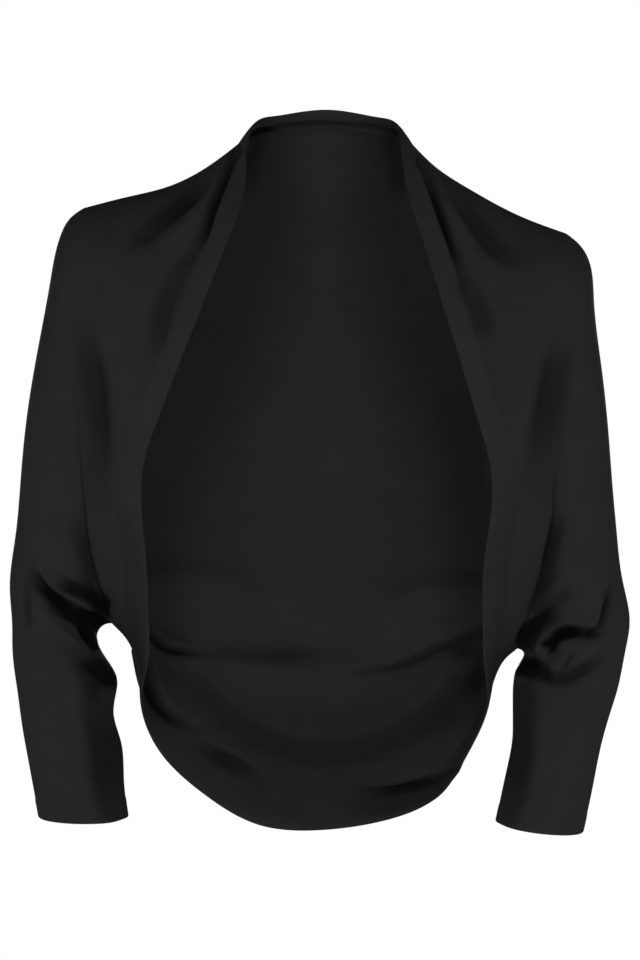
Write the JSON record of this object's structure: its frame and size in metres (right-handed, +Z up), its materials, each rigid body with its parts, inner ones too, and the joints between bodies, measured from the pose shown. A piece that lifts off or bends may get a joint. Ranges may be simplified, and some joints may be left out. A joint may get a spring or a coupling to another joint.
{
  "type": "open-front cocoon shrug sweater",
  "caption": "Open-front cocoon shrug in fine black knit with dolman three-quarter sleeves, a band round the opening and a draped lower back.",
  "frame": {"origin": "the point between the wearer's shoulders, at the level of the nape, where the wearer holds the garment up", "axes": "+Z up, -Y the wearer's front, +X the wearer's left; the wearer's left is on the viewer's right"},
  "size_m": [0.54, 0.219, 0.632],
  "materials": {
    "jersey": "matt fine jersey knit",
    "band": "matt fine jersey knit, doubled and turned"
  },
  "bodies": {
    "root": {"back": "jersey", "front_left": "jersey", "front_right": "jersey", "sleeve_left": "jersey", "sleeve_right": "jersey", "neck_band": "band", "front_band_left": "band", "front_band_right": "band", "hem_band": "band"}
  },
  "joints": []
}
